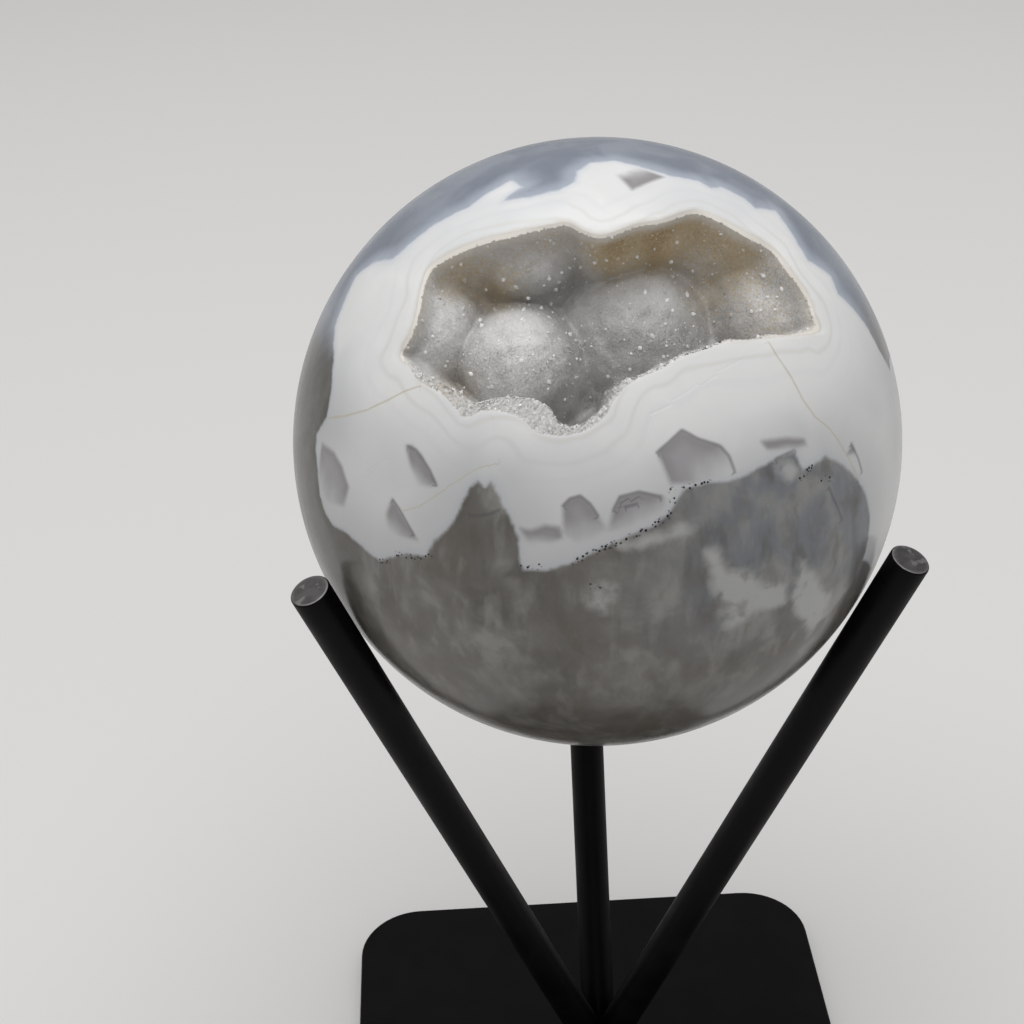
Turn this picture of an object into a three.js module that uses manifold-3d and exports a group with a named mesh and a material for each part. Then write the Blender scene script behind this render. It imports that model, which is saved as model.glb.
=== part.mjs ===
// Polished agate ball with an open, crystal-lined hollow, resting between three round rods that are welded
// to a square base plate. Millimetres and degrees, +Z up, origin under the middle of the plate. The hollow
// faces -Y.
import * as THREE from "three";
import { mergeVertices } from "three/addons/utils/BufferGeometryUtils.js";
import Module from "manifold-3d";

// The ball
const BALL_RADIUS = 45;
const BALL_DETAIL = 12; // splits of each icosahedron edge

// The stand: every rod's axis passes through one point above the middle of the plate
const ROD_RADIUS = 3;
const ROD_TILT = 22.2; // from the vertical
const ROD_LENGTH = 129.5; // from the point where the axes cross to the sawn end
const ROD_CHAMFER = 0.3; // broken edge round the sawn end
const ROD_SIDES = 28;
const ROD_STUB = 8; // taken below the crossing before the foot is trimmed
const ROD_AZIMUTHS = { rod_back: 90, rod_left: 210, rod_right: 330 };
const PLATE_SIDE = 90;
const PLATE_THICKNESS = 4;
const PLATE_CORNER = 12;
const PLATE_CORNER_STEPS = 6;
const PLATE_BEVEL = 0.6;
const CROSSING_ABOVE_PLATE = 4;
const WELD_RADIUS = 7;
const WELD_HEIGHT = 3.6;
const WELD_STEPS = 5;
const GAP = 0.3; // between pieces that touch

// The hollow has a frame of its own in the ball: u to the right, v up the slope, w out of the mouth
const MOUTH_ELEVATION = 36; // of w above the horizontal
const MOUTH_CENTRE = [-1, 11];
const HOLLOW_DEPTH = 17.5;
const RIM_DEPTH = 0.6; // how deep the wall stands straight behind the rim
const BOWL_POWER = 3.8; // a higher power makes a flatter floor with steeper sides
const POWER_SWING = 1.2; // how much lower the power is at the upper rim, and higher at the lower one
const LOW_POWER = 8; // added towards the lower rim, where the wall drops steeply
const CREASE = 1.8; // width of the crease where two lumps meet
const ROUND_SHARE = 0.93; // of its radius, to which a lump is round; then it falls as straight as a cone
const CRUST_THICKNESS = 1.7;
const CRUST_AT_RIM = 1.5; // width of the crust's cut edge in the polished surface

// Where the polished surface cuts the crust's outer side, as u and v, from the right corner over the top
const RIM = [
  [28, 9], [27.5, 12], [26.5, 15.5], [24.5, 19], [22, 22], [19, 24], [16, 26], [12.5, 27], [8, 26], [4, 24.5],
  [0, 23], [-5, 25], [-8, 25], [-12, 24.5], [-17.5, 24], [-23, 22], [-25, 18.5], [-26.5, 11.5], [-27.5, 8.5],
  [-25, 4], [-20.5, 0], [-19.5, -1.5], [-17.5, -1], [-14, -1.3], [-12, -3], [-10.5, -4.5], [-7.5, -5],
  [-5.5, -4.5], [-3.5, -3.5], [-1, -1], [0.5, 1], [5.5, 3], [11, 5.5], [15, 6.5], [20, 7], [24, 8],
];

// Rounded lumps that swell into the hollow: where each one stands highest, how far under the polished
// surface its top lies, and its radius
const LUMPS = [
  { u: -11.6, v: 6.8, under: 7.2, radius: 8.4 },
  { u: 4.3, v: 11.5, under: 10.8, radius: 10.5 },
  { u: 23, v: 13.5, under: 5.8, radius: 8.8 },
  { u: -24, v: 12, under: 3.8, radius: 8.8 },
  { u: -9.5, v: 23, under: 4.6, radius: 7.6 },
  { u: 1.5, v: 24.5, under: 2.8, radius: 5.4 },
  { u: 8, v: 26, under: 2.8, radius: 5.6 },
  { u: 19, v: 26, under: 6, radius: 7 },
];

// Pits between the lumps and the lower rim, where the wall drops straight down
const PITS = [
  { u: -5.2, v: -2.4, width: 3, depth: 4.5 },
  { u: -1.5, v: 1.2, width: 2.4, depth: 3 },
  { u: -21, v: 2.6, width: 3.4, depth: 2.5 },
];

// Crystals: six-sided points that cover the crust
const CRYSTAL_SPACING = 2.4;
const CRYSTAL_HEIGHT = 0.9;
const CRYSTAL_VARIATION = 0.4; // share by which one stands taller or lower
const CRYSTAL_SCATTER = 0.3; // how far a corner strays from its even place
const CRYSTAL_SEED = 20;
const UNDERSIDE_SPACING = 5;

// The net of triangles that shapes the hollow reaches past the rim on every side and over the polish
const NET_CLEARANCE = 5;
const NET = { halfWidth: 31, low: -8, high: 30, top: BALL_RADIUS + NET_CLEARANCE };

// Corners closer than this are one corner
const SAME_CORNER = 1e-4;

const STONE = { color: 0xdcdcd8, roughness: 0.08, metalness: 0 };
const DRUSE = { color: 0xa9a6a3, roughness: 0.45, metalness: 0 };
const BLACK_STEEL = { color: 0x1b1c1e, roughness: 0.4, metalness: 0.2 };

const wasm = await Module();
wasm.setup();

// A closed geometry as a solid that can be joined and cut
function solidOf(geometry) {
  const bare = geometry.clone();
  bare.deleteAttribute("normal");
  bare.deleteAttribute("uv");
  const merged = mergeVertices(bare, SAME_CORNER);
  return new wasm.Manifold(
    new wasm.Mesh({
      numProp: 3,
      vertProperties: merged.attributes.position.array,
      triVerts: new Uint32Array(merged.index.array),
    }),
  );
}

function geometryOf(solid) {
  const cut = solid.getMesh();
  const geometry = new THREE.BufferGeometry();
  geometry.setAttribute("position", new THREE.BufferAttribute(cut.vertProperties, 3));
  geometry.setIndex(new THREE.BufferAttribute(cut.triVerts, 1));
  return geometry;
}

function piece(name, geometry, finish) {
  const mesh = new THREE.Mesh(geometry, new THREE.MeshStandardMaterial({ ...finish, flatShading: true }));
  mesh.name = name;
  return mesh;
}

// A small repeatable source of numbers from 0 to 1
const SCATTER_FACTOR = 16807;
const SCATTER_LIMIT = 2 ** 31 - 1;

function scatterFrom(seed) {
  let state = seed;
  return () => {
    state = (state * SCATTER_FACTOR) % SCATTER_LIMIT;
    return state / SCATTER_LIMIT;
  };
}

// The rim as a smooth closed curve, drawn in by an inset, as points in the plane of the mouth
const RIM_STEPS = 120;
const RIM_STEPS_FINE = 480;
const rimCorners = RIM.map(([u, v]) => new THREE.Vector3(u, v, 0));
const rimCurve = new THREE.CatmullRomCurve3(rimCorners, true, "centripetal");

function rimOutline(inset) {
  const [u0, v0] = MOUTH_CENTRE;
  return rimCurve.getSpacedPoints(RIM_STEPS).slice(0, RIM_STEPS).map((p) => {
    const reach = Math.hypot(p.x - u0, p.y - v0);
    const kept = (reach - inset) / reach;
    return new THREE.Vector2(u0 + (p.x - u0) * kept, v0 + (p.y - v0) * kept);
  });
}

// How far the rim lies from the middle of the mouth in a direction
const rimPolar = rimCurve.getSpacedPoints(RIM_STEPS_FINE).map((p) => {
  const [u0, v0] = MOUTH_CENTRE;
  return { angle: Math.atan2(p.y - v0, p.x - u0), reach: Math.hypot(p.x - u0, p.y - v0) };
});

function rimReach(angle) {
  const off = (a) => Math.abs(Math.atan2(Math.sin(a - angle), Math.cos(a - angle)));
  return rimPolar.reduce((best, p) => (off(p.angle) < off(best.angle) ? p : best)).reach;
}

const polishedHeight = (u, v) => Math.sqrt(Math.max(BALL_RADIUS ** 2 - u * u - v * v, 0));

function smoothMax(a, b) {
  const near = Math.max(CREASE - Math.abs(a - b), 0) / CREASE;
  return Math.max(a, b) + (near * near * CREASE) / 4;
}

// Height of a lump: round at its top and straight further down
function lumpHeight(lump, u, v) {
  const away = Math.hypot(u - lump.u, v - lump.v);
  const edge = ROUND_SHARE * lump.radius;
  const near = Math.min(away, edge);
  const slope = edge / Math.sqrt(lump.radius ** 2 - edge ** 2);
  const drop = lump.radius - Math.sqrt(lump.radius ** 2 - near ** 2) + slope * (away - near);
  return polishedHeight(lump.u, lump.v) - lump.under - drop;
}

// Height of the hollow's floor over the plane through the ball's centre
function floorHeight(u, v) {
  const [u0, v0] = MOUTH_CENTRE;
  const reach = Math.max(Math.hypot(u - u0, v - v0), SAME_CORNER);
  const share = Math.min(reach / rimReach(Math.atan2(v - v0, u - u0)), 1);
  const upward = (v - v0) / reach;
  const power = BOWL_POWER - POWER_SWING * upward + LOW_POWER * Math.max(-upward, 0);
  const bowl = polishedHeight(u, v) - RIM_DEPTH - (HOLLOW_DEPTH - RIM_DEPTH) * (1 - share ** power);
  const lumpy = LUMPS.reduce((floor, lump) => smoothMax(floor, lumpHeight(lump, u, v)), bowl);
  return PITS.reduce((floor, pit) => {
    const away = Math.hypot(u - pit.u, v - pit.v) / pit.width;
    return floor - pit.depth * Math.exp(-away * away);
  }, lumpy);
}

// Everything above the floor, inside the rim: the space that is cut out of the stone or of the crust.
// The floor is a net of triangles in which every third corner can stand up as the tip of a six-sided crystal.
function hollowSpace(inset, lowered, spacing, crystalHeight) {
  const side = spacing / Math.sqrt(3);
  const rowStep = side * Math.sin(Math.PI / 3);
  const rows = Math.ceil((NET.high - NET.low) / rowStep);
  const columns = Math.ceil((2 * NET.halfWidth) / side) + 1;
  const stray = crystalHeight > 0 ? 2 * CRYSTAL_SCATTER : 0;
  const scatter = scatterFrom(CRYSTAL_SEED);
  const corners = [];
  for (let j = 0; j <= rows; j += 1) {
    for (let i = 0; i <= columns; i += 1) {
      const isTip = (((i - Math.floor(j / 2) - j) % 3) + 3) % 3 === 0;
      const u = -NET.halfWidth + (i + (j % 2) / 2) * side + (scatter() - 0.5) * stray;
      const v = NET.low + j * rowStep + (scatter() - 0.5) * stray;
      const tip = isTip ? crystalHeight * (1 + CRYSTAL_VARIATION * (2 * scatter() - 1)) : 0;
      corners.push(u, v, floorHeight(u, v) - lowered + tip);
    }
  }
  const low = corners.length / 3;
  for (let k = 0; k < low; k += 1) corners.push(corners[3 * k], corners[3 * k + 1], NET.top);
  const at = (i, j) => j * (columns + 1) + i;
  const faces = [];
  const quad = (a, b, c, d) => faces.push(a, b, c, a, c, d);
  for (let j = 0; j < rows; j += 1) {
    for (let i = 0; i < columns; i += 1) {
      const [a, b, c, d] = [at(i, j), at(i + 1, j), at(i + 1, j + 1), at(i, j + 1)];
      const split = j % 2 === 0 ? [[a, b, d], [b, c, d]] : [[a, b, c], [a, c, d]];
      for (const [p, q, r] of split) faces.push(p, r, q, p + low, q + low, r + low);
    }
    quad(at(0, j), at(0, j) + low, at(0, j + 1) + low, at(0, j + 1));
    quad(at(columns, j), at(columns, j + 1), at(columns, j + 1) + low, at(columns, j) + low);
  }
  for (let i = 0; i < columns; i += 1) {
    quad(at(i, 0), at(i + 1, 0), at(i + 1, 0) + low, at(i, 0) + low);
    quad(at(i, rows), at(i, rows) + low, at(i + 1, rows) + low, at(i + 1, rows));
  }
  const net = new THREE.BufferGeometry();
  net.setAttribute("position", new THREE.Float32BufferAttribute(corners, 3));
  net.setIndex(faces);
  const mouth = new THREE.ExtrudeGeometry(new THREE.Shape(rimOutline(inset)), {
    depth: 2 * NET.top,
    bevelEnabled: false,
  });
  return solidOf(net).intersect(solidOf(mouth));
}

// The ball with its hollow, and the crust that lines the hollow, in the hollow's frame
function stoneAndCrust() {
  const ball = solidOf(new THREE.IcosahedronGeometry(BALL_RADIUS, BALL_DETAIL));
  const cutFromStone = hollowSpace(0, CRUST_THICKNESS + GAP, UNDERSIDE_SPACING, 0);
  const filledByCrust = hollowSpace(GAP, CRUST_THICKNESS, UNDERSIDE_SPACING, 0);
  const openInCrust = hollowSpace(CRUST_AT_RIM, 0, CRYSTAL_SPACING, CRYSTAL_HEIGHT);
  const group = new THREE.Group();
  group.add(piece("agate_sphere", geometryOf(ball.subtract(cutFromStone)), STONE));
  group.add(piece("druzy_crust", geometryOf(filledByCrust.intersect(ball).subtract(openInCrust)), DRUSE));
  return group;
}

// A low mound of weld metal, as a profile of radius and height; grown makes it larger all round
function weldMound(grown) {
  const profile = [new THREE.Vector2(0, -PLATE_THICKNESS / 2)];
  profile.push(new THREE.Vector2(WELD_RADIUS + grown, -PLATE_THICKNESS / 2));
  for (let k = 0; k <= WELD_STEPS; k += 1) {
    const turn = (k / WELD_STEPS) * (Math.PI / 2);
    const across = (WELD_RADIUS + grown) * Math.cos(turn);
    profile.push(new THREE.Vector2(k === WELD_STEPS ? 0 : across, (WELD_HEIGHT + grown) * Math.sin(turn)));
  }
  return new THREE.LatheGeometry(profile, ROD_SIDES).rotateX(Math.PI / 2);
}

function basePlate() {
  const half = PLATE_SIDE / 2 - PLATE_BEVEL;
  const corner = PLATE_CORNER - PLATE_BEVEL;
  const outline = new THREE.Shape();
  outline.moveTo(half - corner, -half);
  outline.absarc(half - corner, -half + corner, corner, -Math.PI / 2, 0);
  outline.absarc(half - corner, half - corner, corner, 0, Math.PI / 2);
  outline.absarc(-half + corner, half - corner, corner, Math.PI / 2, Math.PI);
  outline.absarc(-half + corner, -half + corner, corner, Math.PI, 1.5 * Math.PI);
  const plate = new THREE.ExtrudeGeometry(outline, {
    depth: PLATE_THICKNESS - 2 * PLATE_BEVEL,
    bevelThickness: PLATE_BEVEL,
    bevelSize: PLATE_BEVEL,
    bevelSegments: 1,
    curveSegments: PLATE_CORNER_STEPS,
  }).translate(0, 0, PLATE_BEVEL);
  const mound = weldMound(0).translate(0, 0, PLATE_THICKNESS);
  return piece("base_plate", geometryOf(solidOf(plate).add(solidOf(mound))), BLACK_STEEL);
}

// One rod leaning towards +X out of the crossing point, mitred against its two neighbours and cut at the weld
function trimmedRod() {
  const rod = new THREE.LatheGeometry(
    [
      new THREE.Vector2(0, -ROD_STUB),
      new THREE.Vector2(ROD_RADIUS, -ROD_STUB),
      new THREE.Vector2(ROD_RADIUS, ROD_LENGTH - ROD_CHAMFER),
      new THREE.Vector2(ROD_RADIUS - ROD_CHAMFER, ROD_LENGTH),
      new THREE.Vector2(0, ROD_LENGTH),
    ],
    ROD_SIDES,
  )
    .rotateX(Math.PI / 2)
    .rotateY(THREE.MathUtils.degToRad(ROD_TILT));
  const third = Math.PI / 3;
  const apex = GAP / 2 / Math.sin(third);
  const far = ROD_LENGTH;
  const sector = new THREE.Shape([
    new THREE.Vector2(apex, 0),
    new THREE.Vector2(apex + far * Math.cos(third), -far * Math.sin(third)),
    new THREE.Vector2(apex + far * Math.cos(third), far * Math.sin(third)),
  ]);
  const wedge = new THREE.ExtrudeGeometry(sector, { depth: 2 * ROD_LENGTH, bevelEnabled: false });
  wedge.translate(0, 0, GAP - CROSSING_ABOVE_PLATE);
  const mound = weldMound(GAP).translate(0, 0, -CROSSING_ABOVE_PLATE);
  return geometryOf(solidOf(rod).intersect(solidOf(wedge)).subtract(solidOf(mound)));
}

function stand() {
  const group = new THREE.Group();
  group.add(basePlate());
  const rodShape = trimmedRod();
  for (const [name, azimuth] of Object.entries(ROD_AZIMUTHS)) {
    const rod = piece(name, rodShape, BLACK_STEEL);
    rod.position.z = PLATE_THICKNESS + CROSSING_ABOVE_PLATE;
    rod.rotation.z = THREE.MathUtils.degToRad(azimuth);
    group.add(rod);
  }
  return group;
}

// The ball sinks between the rods until it touches all three
const ballHeight =
  PLATE_THICKNESS +
  CROSSING_ABOVE_PLATE +
  (BALL_RADIUS + ROD_RADIUS + GAP) / Math.sin(THREE.MathUtils.degToRad(ROD_TILT));

const agateBallOnStand = new THREE.Group();
const stone = stoneAndCrust();
stone.position.z = ballHeight;
stone.rotation.x = THREE.MathUtils.degToRad(90 - MOUTH_ELEVATION);
agateBallOnStand.add(stand(), stone);

export default agateBallOnStand;
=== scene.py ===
"""A polished agate ball with a crystal-lined hollow, resting between three welded rods on a square plate.

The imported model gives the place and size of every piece. Sizes here are millimetres, turned to metres where a
mesh is made. Markings that only the photograph shows are outlines of a few points, given in its pixels.
"""

import logging
import math
from collections.abc import Mapping, Sequence
from dataclasses import dataclass
from enum import Enum

import bmesh
import bpy
import numpy as np
from mathutils import Matrix, Vector


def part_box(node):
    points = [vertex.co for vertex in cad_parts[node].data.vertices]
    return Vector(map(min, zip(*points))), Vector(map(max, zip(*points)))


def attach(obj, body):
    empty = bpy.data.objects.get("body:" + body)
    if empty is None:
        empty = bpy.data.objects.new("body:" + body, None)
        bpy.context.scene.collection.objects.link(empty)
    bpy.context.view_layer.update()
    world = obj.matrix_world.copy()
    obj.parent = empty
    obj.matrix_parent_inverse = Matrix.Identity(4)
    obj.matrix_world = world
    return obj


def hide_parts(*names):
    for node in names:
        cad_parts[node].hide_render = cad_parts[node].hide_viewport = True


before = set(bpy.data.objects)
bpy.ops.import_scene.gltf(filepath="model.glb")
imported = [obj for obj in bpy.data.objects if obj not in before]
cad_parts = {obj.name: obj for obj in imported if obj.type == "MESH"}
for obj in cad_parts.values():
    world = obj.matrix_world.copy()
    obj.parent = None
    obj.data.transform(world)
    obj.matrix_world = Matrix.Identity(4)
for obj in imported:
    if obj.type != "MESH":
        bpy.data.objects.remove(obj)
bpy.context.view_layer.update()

log = logging.getLogger("agate_ball")

Array = np.ndarray
Points = Sequence[tuple[float, float]]
Outline = tuple[Array, Array]
Piece, Finish, Tree = bpy.types.Object, bpy.types.Material, bpy.types.NodeTree
Node, Socket = bpy.types.Node, bpy.types.NodeSocket

MM = 0.001
PICTURE_PX = 1024.0
BALL_RADIUS_MM = 45.0
CURVE_STEPS = 16
SPAN_MM = 1.5
FAR_OFF = 99.0
# A ring whose share of the widest one is below a limit has that one's points divided by the number after it
THINNING = ((0.06, 16), (0.13, 8), (0.26, 4), (0.52, 2))
# The sockets of a colour mix
MIX_AMOUNT, MIX_UNDER, MIX_OVER, MIX_RESULT = 0, 6, 7, 2

# Where the crust of crystals shows its cut edge in the polish: the outer and the inner side of it
CRUST_OUTER_PX = (
    (400, 354), (410, 368), (420, 382), (441, 394), (456, 409), (465, 418), (480, 412), (496, 411),
    (513, 415),
    (526, 423), (536, 433), (550, 435), (562, 436), (579, 433), (592, 427), (606, 415), (613, 402),
    (625, 388),
    (640, 378), (663, 368), (680, 358), (704, 350), (730, 342), (770, 338), (795, 335), (819, 330),
    (815, 313),
    (807, 292), (790, 268), (773, 248), (748, 233), (722, 219), (696, 210), (663, 219), (638, 223),
    (604, 234),
    (584, 230), (567, 222), (546, 225), (512, 232), (471, 243), (433, 263), (422, 283), (417, 308),
    (411, 329),
)
CRUST_INNER_PX = (
    (402, 354), (415, 366), (428, 376), (440, 382), (452, 389), (462, 396), (468, 402), (480, 402),
    (496, 398),
    (520, 397), (538, 401), (550, 408), (557, 420), (570, 427), (585, 422), (598, 412), (607, 405),
    (611, 397),
    (619, 386), (627, 378), (637, 377), (651, 370), (663, 365), (680, 355), (704, 348), (729, 339),
    (752, 340),
    (767, 334), (790, 334), (814, 328), (812, 313), (804, 293), (787, 270), (771, 250), (746, 236),
    (721, 222),
    (696, 213), (663, 222), (638, 226), (604, 237), (584, 233), (567, 225), (546, 228), (513, 236),
    (473, 247),
    (436, 266), (425, 285), (420, 310), (414, 330), (407, 345),
)

# The outer edge of the white agate. It passes out of sight on the right, where azimuth and elevation give it.
WHITE_TOP_PX = (
    (317, 434), (327, 417), (332, 388), (334, 358), (335, 326), (345, 300), (356, 276), (373, 263),
    (393, 259),
    (410, 244), (432, 226), (450, 216), (469, 207), (486, 194), (499, 187), (511, 180), (522, 187),
    (508, 196),
    (504, 201), (530, 197), (560, 190), (575, 182), (577, 172), (590, 163), (615, 161), (647, 169),
    (670, 176),
    (698, 181), (711, 188), (721, 187), (744, 198), (755, 208), (776, 211), (787, 226), (799, 246),
    (808, 260),
    (831, 276), (838, 294), (849, 304), (865, 324), (879, 350),
)
WHITE_HIDDEN_DEG = (
    (74, 20), (80, 21), (86, 16), (85, 9), (92, 7), (101, 9), (107, 3), (104, -5), (96, -6), (92, -13),
    (84, -11), (78, -18), (70, -19), (63, -14), (57, -12), (53, -8),
)
WHITE_LOW_PX = (
    (863, 560), (868, 540), (870, 515), (866, 495), (859, 481), (849, 470), (838, 462), (825, 456),
    (812, 466),
    (803, 470), (794, 452), (775, 459), (760, 467), (745, 476), (731, 481), (707, 483), (684, 489),
    (677, 501),
    (670, 512), (656, 524), (640, 531), (624, 538), (597, 550), (574, 562), (548, 570), (523, 570),
    (519, 558),
    (519, 538), (511, 520), (503, 505), (497, 492), (491, 481), (485, 487), (478, 481), (470, 487),
    (462, 503),
    (457, 515), (447, 530), (433, 542), (427, 556), (410, 554), (395, 556), (379, 560), (367, 551),
    (358, 543),
    (347, 533), (333, 525), (325, 512), (320, 495), (318, 470), (316, 450),
)

# Grey quartz points that the white agate has grown round
TEETH_PX = (
    ((406, 446), (412, 446), (421, 455), (430, 471), (437, 485), (427, 487), (417, 487), (411, 468)),
    ((392, 499), (398, 508), (408, 525), (417, 540), (400, 537), (387, 533), (386, 515)),
    ((322, 443), (334, 452), (342, 466), (349, 487), (344, 506), (331, 504), (322, 495), (319, 470)),
    ((563, 505), (570, 499), (580, 496), (589, 503), (597, 515), (607, 529), (594, 538), (579, 544),
     (564, 536)),
    ((611, 520), (614, 509), (620, 497), (639, 492), (664, 497), (668, 507), (650, 520), (624, 530),
     (608, 532)),
    ((657, 452), (668, 443), (682, 430), (698, 439), (721, 446), (731, 459), (736, 474), (706, 482),
     (671, 484)),
    ((520, 528), (531, 530), (545, 525), (560, 527), (563, 538), (548, 546), (528, 544)),
    ((761, 441), (785, 438), (804, 439), (808, 447), (790, 452), (768, 451)),
    ((847, 455), (852, 443), (857, 456)),
    ((616, 174), (635, 167), (664, 177), (632, 190)),
)

# Milky clouds in the grey quartz
MILK_PX = (
    ((704, 551), (716, 549), (729, 570), (750, 568), (763, 584), (788, 584), (788, 606), (756, 612),
     (729, 630),
     (719, 615), (714, 584)),
    ((800, 558), (812, 574), (829, 594), (825, 616), (810, 634), (799, 618), (788, 600), (796, 580)),
    ((588, 590), (600, 583), (617, 586), (612, 604), (606, 612), (590, 606)),
    ((777, 463), (793, 461), (800, 470), (791, 478), (778, 474)),
    ((620, 545), (650, 535), (682, 527), (690, 533), (660, 543), (630, 551)),
)

# Healed cracks, stained thin and yellow-brown, and one that is so fine that it barely shows
CRACKS_PX = (
    ((328, 418), (345, 416), (367, 410), (388, 400), (405, 391), (420, 386)),
    ((768, 341), (777, 356), (790, 375), (803, 400), (815, 417), (829, 428), (838, 440), (845, 452),
     (858, 478)),
)
FINE_CRACK_PX = ((500, 463), (478, 468), (452, 484), (436, 496), (420, 506), (404, 511))
FINE_CRACK_SLACK = 0.17

# Dark seams where one quartz point meets the next or the white agate
SEAMS_PX = (
    ((469, 515), (478, 516), (490, 514), (499, 510)),
    ((408, 446), (416, 450), (422, 458), (430, 471), (436, 485)),
    ((393, 500), (400, 510), (414, 535)),
    ((563, 506), (570, 499), (580, 496), (590, 504), (598, 516)),
    ((613, 511), (620, 497), (639, 492), (662, 497)),
    ((625, 507), (637, 504)),
    ((657, 453), (668, 443), (682, 430), (698, 439), (720, 446), (729, 456), (735, 472)),
    ((775, 459), (784, 455), (795, 450)),
    ((829, 487), (833, 498), (838, 508), (842, 520)),
    ((851, 444), (858, 458), (862, 472)),
)

# Rows of tiny black specks
SPECK_ROWS_PX = (
    ((380, 561), (388, 562)),
    ((395, 554), (412, 557), (430, 556)),
    ((520, 567), (530, 569), (539, 566)),
    ((574, 562), (598, 550), (614, 544), (630, 537), (650, 528), (668, 516), (673, 504), (672, 490)),
    ((684, 488), (702, 484), (710, 483)),
    ((590, 586), (600, 586)),
    ((800, 478), (812, 466)),
    ((818, 480), (830, 478)),
)


class Surface(Enum):
    """How far a surface's crystals have grown."""

    SUGAR = "sugar"
    POINTS = "points"
    FROST = "frost"


def unit(vectors: Array) -> Array:
    """Return the vectors at length one."""
    return vectors / np.linalg.norm(vectors, axis=-1, keepdims=True)


def linear(code: str) -> tuple[float, ...]:
    """Turn an sRGB hex colour to the linear values that the shaders take.

    Args:
        code: the colour as "#rrggbb".

    Returns:
        Red, green, blue and an alpha of one.
    """
    channels = [int(code[k:k + 2], 16) / 255 for k in (1, 3, 5)]
    return *(c / 12.92 if c <= 0.04045 else ((c + 0.055) / 1.055) ** 2.4 for c in channels), 1.0


def ramp(values: Array, start: float, width: float) -> Array:
    """Rise from 0 to 1 over a width that begins at a start."""
    return np.clip((values - start) / width, 0, 1)


def add(tree: Tree, kind: str, feeds: Mapping, **settings: object) -> Node:
    """Add a node with its settings and links.

    Args:
        tree: the node tree.
        kind: the node's type name, after ShaderNode.
        feeds: an input's name or number, and the socket, colour code or value that it takes.
        settings: the node's own properties.

    Returns:
        The new node.
    """
    node = tree.nodes.new("ShaderNode" + kind)
    for name, value in settings.items():
        setattr(node, name, value)
    for key, value in feeds.items():
        if isinstance(value, Socket):
            tree.links.new(value, node.inputs[key])
        else:
            node.inputs[key].default_value = linear(value) if isinstance(value, str) else value
    return node


def smooth_ring(corners: Array, count: int) -> Array:
    """Run a smooth closed curve through corners.

    Args:
        corners: the points of the ring, in order.
        count: how many points the curve gets, evenly spaced.

    Returns:
        The points of the curve.
    """
    t = (np.arange(CURVE_STEPS) / CURVE_STEPS)[None, :, None]
    a, b, c, d = (np.roll(corners, k, axis=0)[:, None, :] for k in (1, 0, -1, -2))
    curve = 0.5 * (2 * b + (c - a) * t + (2 * a - 5 * b + 4 * c - d) * t**2 + (3 * b - a - 3 * c + d) * t**3)
    curve = curve.reshape(-1, corners.shape[1])
    closed = np.vstack([curve, curve[:1]])
    reached = np.concatenate([[0.0], np.cumsum(np.linalg.norm(np.diff(closed, axis=0), axis=1))])
    places = np.linspace(0, reached[-1], count, endpoint=False)
    return np.stack([np.interp(places, reached, column) for column in closed.T], axis=1)


def stitch(rings: Sequence[Array]) -> tuple[Array, list[tuple[int, ...]]]:
    """Join closed rings of points into one closed skin.

    Args:
        rings: each has as many points as the next, or half or twice as many. A flat face closes either end.

    Returns:
        The points, and the faces as rows of point numbers.
    """
    starts = np.cumsum([0] + [len(ring) for ring in rings]).tolist()
    faces = [tuple(range(len(rings[0]) - 1, -1, -1))]
    for near, far, p, q in zip(rings[:-1], rings[1:], starts, starts[1:]):
        low = min(len(near), len(far))
        few, many = (p, q) if len(near) < len(far) else (q, p)
        for i in range(low):
            j = (i + 1) % low
            if len(near) == len(far):
                faces.append((p + i, p + j, q + j, q + i))
                continue
            m = [many + (2 * i + k) % (2 * low) for k in range(3)]
            trio = [(few + i, m[1], m[0]), (few + i, few + j, m[1]), (few + j, m[2], m[1])]
            faces += trio if few == p else [t[::-1] for t in trio]
    faces.append(tuple(range(starts[-2], starts[-1])))
    return np.vstack(rings), faces


def shown(name: str, points: Array, faces: Sequence) -> Piece:
    """Make a smoothly shaded closed mesh object, which stands at the frame's origin.

    Args:
        name: the piece's name.
        points: the places of its corners in the part's frame, in millimetres.
        faces: rows of corner numbers.

    Returns:
        The new object.
    """
    mesh = bpy.data.meshes.new(name)
    mesh.from_pydata((points * MM).tolist(), [], faces)
    mesh.validate()
    build = bmesh.new()
    build.from_mesh(mesh)
    if build.calc_volume(signed=True) < 0:
        bmesh.ops.reverse_faces(build, faces=build.faces)
    build.to_mesh(mesh)
    build.free()
    mesh.polygons.foreach_set("use_smooth", [True] * len(mesh.polygons))
    piece = bpy.data.objects.new(name, mesh)
    bpy.context.scene.collection.objects.link(piece)
    return piece


def note(piece: Piece, **kept: Array) -> None:
    """Keep numbers for each corner of a piece under their names, for its finish to read."""
    for name, values in kept.items():
        layer = piece.data.attributes.new(name, "FLOAT", "POINT")
        layer.data.foreach_set("value", np.asarray(values, np.float32))


def settle(piece: Piece, slot: str, finishes: Sequence[Finish], *nodes: str) -> None:
    """Dress a piece, let it ride, and hide the CAD nodes that it stands for.

    Args:
        piece: the finished piece.
        slot: not used.
        finishes: its materials.
        nodes: CAD nodes that aren't shown, because the piece stands for them.
    """
    for finish in finishes:
        piece.data.materials.append(finish)
    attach(piece, "root")
    if nodes:
        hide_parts(*nodes)
    log.info("%s: %d faces", piece.name, len(piece.data.polygons))


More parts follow.
